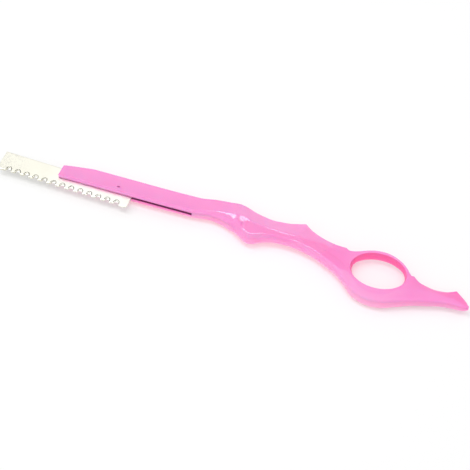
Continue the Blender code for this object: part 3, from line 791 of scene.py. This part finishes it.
def makeGuard():
    # One strip folded over the blade: two flat leaves with the toothed edge, joined by a half circle.
    size = guardSize
    sheet = size["sheet"]
    middle = (guardHigh.z - guardLow.z - sheet) / 2
    edge = toothedEdge()
    foldCentre = guardHigh.y - origin.y - sheet / 2 - middle
    angle = np.linspace(0, math.pi, size["foldSteps"] + 1)
    ends = (edge[0, 0], edge[-1, 0])
    turned = [(foldCentre + middle * math.sin(a), middle * math.cos(a)) for a in angle]
    fold = np.array([(x, y, z) for y, z in turned for x in ends])
    front = np.column_stack([edge, np.full(len(edge), middle)])
    back = front * (1, 1, -1)
    points = np.concatenate([fold, front, back])
    faces = [[2 * i, 2 * i + 1, 2 * i + 3, 2 * i + 2] for i in range(size["foldSteps"])]
    firstFront, firstBack = len(fold), len(fold) + len(front)
    faces.append([1, 0] + list(range(firstFront, firstBack)))
    faces.append([len(fold) - 2, len(fold) - 1] + list(range(len(points) - 1, firstBack - 1, -1)))
    piece = meshPiece("combGuard", points, faces)
    welded(piece, 0.0)
    solid = piece.modifiers.new("sheet", "SOLIDIFY")
    solid.thickness = sheet
    solid.offset = 0
    solid.use_even_offset = True
    # the cut rim and the rounded edges take the second material, the dark cut steel, partly painted shade
    solid.material_offset_rim = 1
    bevel = piece.modifiers.new("edges", "BEVEL")
    bevel.width = size["edgeRounding"]
    bevel.segments = 2
    bevel.material = 1
    bevel.limit_method = "ANGLE"
    bevel.angle_limit = math.radians(50)
    applied(piece)
    notchShadeBands(piece)
    smoothShaded(piece, size["sharpAngle"])
    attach(piece, "blade_unit")
    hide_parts("comb_guard")
    print("comb guard:", len(piece.data.polygons), "faces")
    return piece


blade = {
    "bevel": 1.2 * millimetre,
    "honed": 0.25 * millimetre,     # a second, steeper bevel at the very edge
    "honedShare": 0.34,             # of the half thickness, where the two bevels meet
}


def makeBlade():
    # A strip whose section tapers to its edge in two bevels, carried along the guard.
    low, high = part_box("razor_blade")
    low, high = low - origin, high - origin
    half = (high.z - low.z) / 2
    honed = (low.y + blade["honed"], blade["honedShare"] * half)
    side = [(high.y, half), (low.y + blade["bevel"], half), honed]
    outline = side + [(low.y, 0)] + [(y, -z) for y, z in side[::-1]]
    sections = [np.array([(x, y, z) for y, z in outline]) for x in (low.x, high.x)]
    piece = carried("razorBlade", sections)
    smoothShaded(piece, 1)
    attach(piece, "blade_unit")
    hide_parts("razor_blade")
    print("blade:", len(piece.data.polygons), "faces")
    return piece


def plugged(tree, socket, value):
    if isinstance(value, Signal):
        tree.links.new(value.socket, socket)
    else:
        socket.default_value = value


class Signal:
    # A node's output that can be added, multiplied and so on like a number.
    def __init__(self, tree, socket):
        self.tree = tree
        self.socket = socket

    def node(self, kind, settings=None, **values):
        # A new node of this kind: its settings first, then its sockets by name, or by number as _0, _1.
        made = self.tree.nodes.new("ShaderNode" + kind)
        for name, value in (settings or {}).items():
            setattr(made, name, value)
        for name, value in values.items():
            numbered = name[0] == "_"
            plugged(self.tree, made.inputs[int(name[1:]) if numbered else name], value)
        return made

    def out(self, kind, settings=None, output=0, **values):
        return Signal(self.tree, self.node(kind, settings, **values).outputs[output])

    def maths(self, operation, *others):
        return self.out("Math", {"operation": operation}, **{f"_{i}": v for i, v in enumerate(others)})

    def __add__(self, other):
        return self.maths("ADD", self, other)

    def __sub__(self, other):
        return self.maths("SUBTRACT", self, other)

    def __rsub__(self, other):
        return self.maths("SUBTRACT", other, self)

    def __mul__(self, other):
        return self.maths("MULTIPLY", self, other)

    __radd__ = __add__
    __rmul__ = __mul__

    def clamped(self):
        return self.out("Clamp", Value=self)

    def after(self, start, length):
        # Nothing up to start, and one from this length past it.
        return ((self - start) * (1 / length)).clamped()

    def noise(self, scale, detail, roughness=0.5):
        # Cloudy noise on these coordinates, mostly from 0.3 to 0.7.
        return self.out("TexNoise", Vector=self, Scale=scale, Detail=detail, Roughness=roughness)

    def bump(self, strength, depth):
        return self.out("Bump", Strength=strength, Distance=depth, Height=self)

    def split(self):
        # The x, y and z of a vector.
        parts = self.node("SeparateXYZ", Vector=self)
        return [Signal(self.tree, socket) for socket in parts.outputs]

    def mixed(self, low, high):
        # A colour between low and high, as this signal goes from 0 to 1.
        return self.out("Mix", {"data_type": "RGBA"}, 2, Factor=self, _6=low, _7=high)


def newMaterial(name):
    material = bpy.data.materials.new(name)
    material.use_nodes = True
    tree = material.node_tree
    shader = tree.nodes["Principled BSDF"]
    place = Signal(tree, tree.nodes.new("ShaderNodeTexCoord").outputs["Object"])
    return material, tree, shader, place


def feed(tree, shader, **values):
    for name, value in values.items():
        plugged(tree, shader.inputs[name.replace("_", " ")], value)


def colour(red, green, blue):
    # Linear colour from screen values of 0 to 255.
    def linear(value):
        share = value / 255
        return share / 12.92 if share <= 0.04045 else ((share + 0.055) / 1.055) ** 2.4

    return (linear(red), linear(green), linear(blue), 1.0)


def stretched(place, along, across, up):
    # Object coordinates scaled on each axis, for grain that runs along the piece.
    return place.out("Mapping", Vector=place, Scale=(along, across, up))


plastic = {
    "colour": colour(249, 145, 209),
    # The pale colour is painted light and the deep colour painted shade, mixed in by the shading tone; the
    # slot's and the hole's colours are painted shade inside them.
    "paleLightColour": colour(250, 199, 228),
    "deepShadeColour": colour(251, 122, 190),
    "slotShadeColour": colour(165, 75, 130),
    "holeShadeColour": colour(250, 117, 181),
    "holeRimShare": 1.02,       # where the hole's painted shade ends, as a share of its half sizes
    "holeFadeShare": 1 / 60,
    "slotSideShare": 0.56,      # how much of the slot's width and roof its painted shade takes
    "slotRoofShare": 1.01,
    "slotEdge": 0.05 * millimetre,
    "passedLight": (0.34, 0.0, 0.07, 1.0),  # a weak glow, for the light that the plastic lets through
    "passedFade": 2.0 * millimetre,         # from nothing to full strength, downwards
    "passedRise": 1.6 * millimetre,         # how much higher it starts on the grip than on the bar
    "riseLength": 20.0 * millimetre,
    "tailFrom": 125.0 * millimetre,         # past here it is weaker
    "tailLength": 50.0 * millimetre,
    "tailFade": 0.55,
    "polish": 1.0,
    "coatRoughness": 0.08,
    "roughness": 0.15,
    "mattRoughness": 0.38,
    "scatter": 0.7,
    "scatterLength": 2.0 * millimetre,
    "scatterShares": (1.0, 0.4, 0.6),
    "refraction": 1.49,
    "mottleSize": 90.0,
    "mottle": 0.12,
    "mottleRoughness": 0.06,
    "grainSize": 2600.0,
    "grainRoughness": 0.03,
    "grainStrength": 0.3,
    "grainHeight": 0.004 * millimetre,
}


def holeWallShade(x, y):
    # Painted shade: one on the wall of the finger hole, where the pink is deeper as the shade in the hole,
    # and nothing a little way out from its rim.
    across = (x - ringX) * (1 / holeA)
    up = (y - handle["ringAboveSlide"]) * (1 / holeB)
    square = across * across + up * up
    reach = square.maths("SQRT", square)
    fade = plastic["holeFadeShare"]
    return 1.0 - reach.after(plastic["holeRimShare"] - fade, fade)


def slotWallShade(x, y, z):
    # Painted shade: one on the walls of the slot, darkened as the shade inside it. Nothing else below its
    # roof lies so near to the middle plane of the bar.
    edge = plastic["slotEdge"]
    outside = z.maths("ABSOLUTE", z).after(handle["slotWidth"] * plastic["slotSideShare"] - edge, edge)
    pastEnd = x.after(handle["barLength"] - handle["slotStop"], edge)
    aboveRoof = y.after(handle["slotRoof"] * plastic["slotRoofShare"] - edge, edge)
    return (1.0 - outside) * (1.0 - pastEnd) * (1.0 - aboveRoof)


def pinkPlastic():
    material, tree, shader, place = newMaterial("pinkPlastic")
    mottle = place.noise(plastic["mottleSize"], 3.0)
    grain = place.noise(plastic["grainSize"], 2.0, 0.6)
    # the shading tone paints light and shade into the pink, paler for painted light and deeper for painted
    # shade; the mottle on it is a random tone
    shadingTone = place.out("Attribute", {"attribute_name": "shadingTone"}, 2) + (mottle - 0.5) * plastic["mottle"]
    shade = (shadingTone + 1.0).clamped().mixed(plastic["paleLightColour"], plastic["colour"])
    shade = shadingTone.clamped().mixed(shade, plastic["deepShadeColour"])
    x, y, z = place.out("VectorMath", {"operation": "SUBTRACT"}, _0=place, _1=tuple(origin)).split()
    # painted shade: deeper pink on the wall of the finger hole
    shade = holeWallShade(x, y).mixed(shade, plastic["holeShadeColour"])
    # painted shade: dark walls inside the slot
    inSlotShade = slotWallShade(x, y, z)
    shade = inSlotShade.mixed(shade, plastic["slotShadeColour"])
    rise = x.after(handle["barLength"], plastic["riseLength"]) * plastic["passedRise"]
    fade = 1.0 - x.after(plastic["tailFrom"], plastic["tailLength"]) * plastic["tailFade"]
    passed = (rise - z).after(0, plastic["passedFade"]) * (1.0 - inSlotShade) * fade
    gloss = place.out("Attribute", {"attribute_name": "gloss"}, 2).clamped()
    matt = plastic["mattRoughness"]
    rough = mottle * plastic["mottleRoughness"] + grain * plastic["grainRoughness"] + (matt - 0.04)
    rough = rough - gloss * (matt - plastic["roughness"])
    bump = grain.bump(plastic["grainStrength"], plastic["grainHeight"])
    feed(tree, shader, Base_Color=shade, Roughness=rough, Normal=bump, IOR=plastic["refraction"])
    feed(tree, shader, Coat_Weight=gloss * plastic["polish"], Coat_Roughness=plastic["coatRoughness"])
    feed(tree, shader, Subsurface_Weight=plastic["scatter"], Subsurface_Scale=plastic["scatterLength"])
    feed(tree, shader, Subsurface_Radius=plastic["scatterShares"], Emission_Strength=1.0)
    feed(tree, shader, Emission_Color=passed.mixed((0, 0, 0, 1), plastic["passedLight"]))
    return material


steel = {
    "colour": colour(248, 247, 240),
    # painted reflection: a warmer colour on the part that stands out of the bar
    "warmReflectionColour": colour(238, 236, 222),
    "warmReflectionLength": 38.0 * millimetre,
    "dullColour": colour(243, 242, 234),
    # painted shade along the bend of the spine; the same grey also colours the specks from handling
    "foldShadeAndSpeckColour": colour(190, 189, 185),
    "foldShadeWidth": 0.9 * millimetre,
    "handledLength": 16.0 * millimetre,
    "roughness": 0.34,
    "grain": (60.0, 5200.0, 5200.0),
    "cloudSize": 140.0,
    "unevenness": 0.12,         # of the roughness, once for the lines and once for the clouds
    "foldShadeShare": 0.8,
    "warmReflectionShare": 0.8,
    "speckShare": 0.7,
    "speckSize": 1500.0,
    "scratchStrength": 0.25,
    "scratchDepth": 0.003 * millimetre,
    "cutGrain": (2500.0, 2500.0, 400.0),
    # the cut edge: dark, partly its own dull steel and partly painted shade
    "cutShadeDark": colour(12, 12, 10),
    "cutShadePale": colour(48, 48, 44),
}


def guardSteel():
    material, tree, shader, place = newMaterial("rolledSteel")
    lines = stretched(place, *steel["grain"]).noise(1.0, 4.0, 0.6)
    cloud = place.noise(steel["cloudSize"], 3.0, 0.6)
    shade = ((cloud - 0.3) * 2.2).clamped().mixed(steel["dullColour"], steel["colour"])
    x, y = place.split()[:2]
    # painted shade: a grey band along the bend of the spine, where the steel curves away from the light
    foldShadeMask = y.after(guardHigh.y - steel["foldShadeWidth"], steel["foldShadeWidth"])
    shade = (foldShadeMask * steel["foldShadeShare"]).mixed(shade, steel["foldShadeAndSpeckColour"])
    # painted reflection: the part that stands out of the bar is a little warmer; and its end is specked by
    # handling
    handled = steel["handledLength"]
    warmReflectionMask = 1.0 - x.after(guardLow.x + steel["warmReflectionLength"] - handled, handled)
    shade = (warmReflectionMask * steel["warmReflectionShare"]).mixed(shade, steel["warmReflectionColour"])
    outer = 1.0 - x.after(guardLow.x, handled)
    specks = ((place.noise(steel["speckSize"], 2.0, 0.7) - 0.5) * 6.0).clamped()
    shade = (outer * specks * steel["speckShare"]).mixed(shade, steel["foldShadeAndSpeckColour"])
    bump = lines.bump(steel["scratchStrength"], steel["scratchDepth"])
    rough = lines * steel["unevenness"] + cloud * steel["unevenness"] + (steel["roughness"] - 0.10)
    feed(tree, shader, Base_Color=shade, Metallic=1.0, Roughness=rough, Normal=bump)
    return material


ground = {
    "colour": colour(249, 249, 246),
    "roughness": 0.22,
    "unevenness": 0.14,
    "strokes": (4200.0, 160.0, 160.0),
    "strokeStrength": 0.3,
    "strokeDepth": 0.002 * millimetre,
}


def cutEdgeShadeSteel():
    # The cut edge of the strip: torn dark metal, duller than its rolled face, and darker still as painted
    # shade, also on the bands round the notches.
    material, tree, shader, place = newMaterial("cutEdgeShadeSteel")
    tear = stretched(place, *steel["cutGrain"]).noise(1.0, 2.0)
    shade = tear.mixed(steel["cutShadeDark"], steel["cutShadePale"])
    feed(tree, shader, Base_Color=shade, Metallic=1.0, Roughness=tear * 0.2 + 0.35)
    return material


def bladeSteel():
    material, tree, shader, place = newMaterial("groundSteel")
    lines = stretched(place, *ground["strokes"]).noise(1.0, 3.0, 0.7)
    bump = lines.bump(ground["strokeStrength"], ground["strokeDepth"])
    rough = lines * ground["unevenness"] + (ground["roughness"] - ground["unevenness"] / 2)
    feed(tree, shader, Base_Color=ground["colour"], Metallic=1.0, Roughness=rough, Normal=bump)
    return material


studio = {
    "lens": 123.1,
    "sensor": 36.0,
    "azimuth": 21.4,
    "elevation": 52.0,
    "distance": 0.717,
    "aimX": 87.8 * millimetre,
    "floorSize": 6.0,
    "floorColour": (0.96, 0.96, 0.96, 1.0),
    "floorRoughness": 0.12,
    "floorGlow": 0.35,
    "worldStrength": 0.70,
    "topPower": 5.0,
    "topSize": (1.5, 0.22),
    "topPlace": (-0.25, 0.08, 1.05),
    "frontPower": 3.2,
    "frontSize": (3.0, 1.4),
    "frontPlace": (0.0, -1.3, 0.8),
}


def makeCamera():
    data = bpy.data.cameras.new("camera")
    data.lens = studio["lens"]
    data.sensor_width = studio["sensor"]
    data.clip_start, data.clip_end = 0.01, 50
    camera = bpy.data.objects.new("camera", data)
    bpy.context.scene.collection.objects.link(camera)
    a, e = math.radians(studio["azimuth"]), math.radians(studio["elevation"])
    back = Vector((math.sin(a) * math.cos(e), -math.cos(a) * math.cos(e), math.sin(e)))
    aim = origin + Vector((studio["aimX"], 0, 0))
    camera.location = aim + back * studio["distance"]
    camera.rotation_mode = "QUATERNION"
    camera.rotation_quaternion = (-back).to_track_quat("-Z", "Y")
    bpy.context.scene.camera = camera


def makeFloor():
    bpy.ops.mesh.primitive_plane_add(size=studio["floorSize"], location=(0, 0, 0))
    floor = bpy.context.object
    floor.name = "floor"
    material, tree, shader = newMaterial("paleFloor")[:3]
    feed(tree, shader, Base_Color=studio["floorColour"], Roughness=studio["floorRoughness"], IOR=1.5)
    glow = tree.nodes.new("ShaderNodeEmission")
    glow.inputs["Color"].default_value = (1, 1, 1, 1)
    blend = tree.nodes.new("ShaderNodeMixShader")
    share = seenDirectly(tree) * studio["floorGlow"]
    tree.links.new(share.socket, blend.inputs["Fac"])
    tree.links.new(shader.outputs[0], blend.inputs[1])
    tree.links.new(glow.outputs[0], blend.inputs[2])
    tree.links.new(blend.outputs[0], tree.nodes["Material Output"].inputs["Surface"])
    floor.data.materials.append(material)


def areaLamp(name, place, aim, size, power):
    data = bpy.data.lights.new(name, "AREA")
    data.shape = "RECTANGLE"
    data.size, data.size_y = size
    data.energy = power
    lamp = bpy.data.objects.new(name, data)
    lamp.location = place
    # the lamp shines from its back towards its front, with its long side level along x
    back = (Vector(place) - Vector(aim)).normalized()
    across = (Vector((1, 0, 0)) - back * back.x).normalized()
    lamp.rotation_mode = "QUATERNION"
    lamp.rotation_quaternion = Matrix((across, back.cross(across), back)).transposed().to_quaternion()
    bpy.context.scene.collection.objects.link(lamp)


def seenDirectly(tree):
    # One for what the camera sees, mirrored or through clear things too, and nothing for other light.
    path = tree.nodes.new("ShaderNodeLightPath")
    kinds = ("Is Camera Ray", "Is Glossy Ray", "Is Transmission Ray")
    rays = [Signal(tree, path.outputs[kind]) for kind in kinds]
    return (rays[0] + rays[1] + rays[2]).clamped()


def makeLights():
    world = bpy.data.worlds.new("studio")
    bpy.context.scene.world = world
    world.use_nodes = True
    world.node_tree.nodes["Background"].inputs["Color"].default_value = (1, 1, 1, 1)
    strength = world.node_tree.nodes["Background"].inputs["Strength"]
    seen = seenDirectly(world.node_tree)
    strongest = seen * (1 - studio["worldStrength"]) + studio["worldStrength"]
    world.node_tree.links.new(strongest.socket, strength)
    areaLamp("topLamp", studio["topPlace"], (0, 0, 0), studio["topSize"], studio["topPower"])
    areaLamp("frontLamp", studio["frontPlace"], (0, 0, 0), studio["frontSize"], studio["frontPower"])


handlePiece = makeHandle()
guardPiece = makeGuard()
bladePiece = makeBlade()
handlePiece.data.materials.append(pinkPlastic())
guardPiece.data.materials.append(guardSteel())
guardPiece.data.materials.append(cutEdgeShadeSteel())
bladePiece.data.materials.append(bladeSteel())
makeFloor()
makeLights()
makeCamera()
bpy.context.scene.view_settings.view_transform = "Standard"
